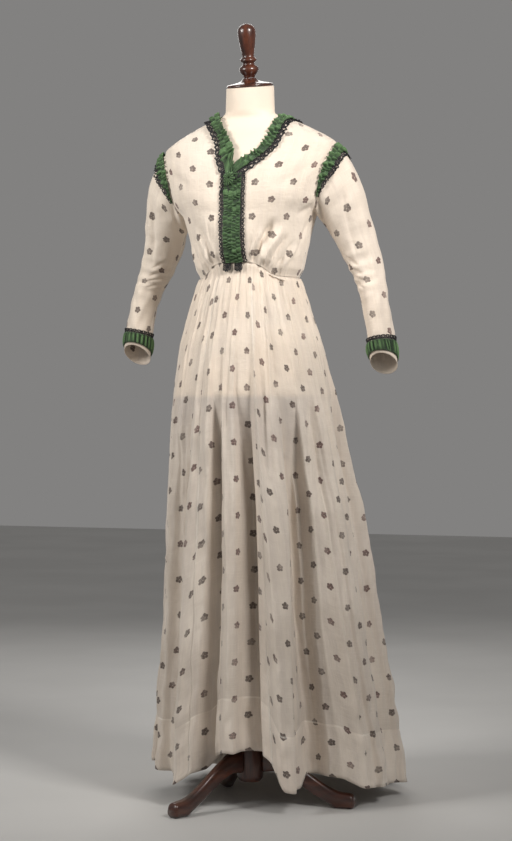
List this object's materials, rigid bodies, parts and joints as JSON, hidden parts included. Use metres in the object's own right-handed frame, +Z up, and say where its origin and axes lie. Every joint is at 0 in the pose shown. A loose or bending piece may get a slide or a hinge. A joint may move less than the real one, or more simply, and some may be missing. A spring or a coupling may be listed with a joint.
{
  "type": "day dress on a turned wooden dress form",
  "caption": "Long-sleeved printed muslin day dress with green silk ruching and black lace, worn by a limbless dress form on a tripod stand.",
  "frame": {"origin": "on the floor, under the middle of the part's box", "axes": "+Z up; the dress faces -Y; the wearer's left is +X"},
  "size_m": [0.6092, 0.6258, 1.5944],
  "materials": {
    "muslin": "sheer cream cotton muslin printed with small sprigs",
    "green_silk": "gathered green silk gauze",
    "black_lace": "narrow black bobbin lace",
    "form_cover": "cream linen cover of the dress form",
    "dark_wood": "polished dark reddish turned wood"
  },
  "bodies": {
    "root": {"bodice_front_left": "muslin", "bodice_front_right": "muslin", "bodice_back": "muslin", "sleeve_left": "muslin", "sleeve_right": "muslin", "skirt_front": "muslin", "skirt_side_left": "muslin", "skirt_back": "muslin", "skirt_side_right": "muslin", "waist_cord": "muslin", "neck_ruche": "green_silk", "plastron_strip_left": "green_silk", "plastron_strip_right": "green_silk", "bow_knot": "green_silk", "armhole_ruche_left": "green_silk", "armhole_ruche_right": "green_silk", "cuff_ruche_left": "green_silk", "cuff_ruche_right": "green_silk", "neck_lace": "black_lace", "plastron_lace_left": "black_lace", "plastron_lace_right": "black_lace", "lace_tab_right": "black_lace", "lace_tab_left": "black_lace", "armhole_lace_left": "black_lace", "armhole_lace_right": "black_lace", "cuff_lace_left": "black_lace", "cuff_lace_right": "black_lace", "form_torso": "form_cover", "neck_cap": "dark_wood", "finial": "dark_wood", "stand_hub": "dark_wood", "stand_pole": "dark_wood", "stand_leg_front": "dark_wood", "stand_leg_left": "dark_wood", "stand_leg_back": "dark_wood"}
  },
  "joints": []
}
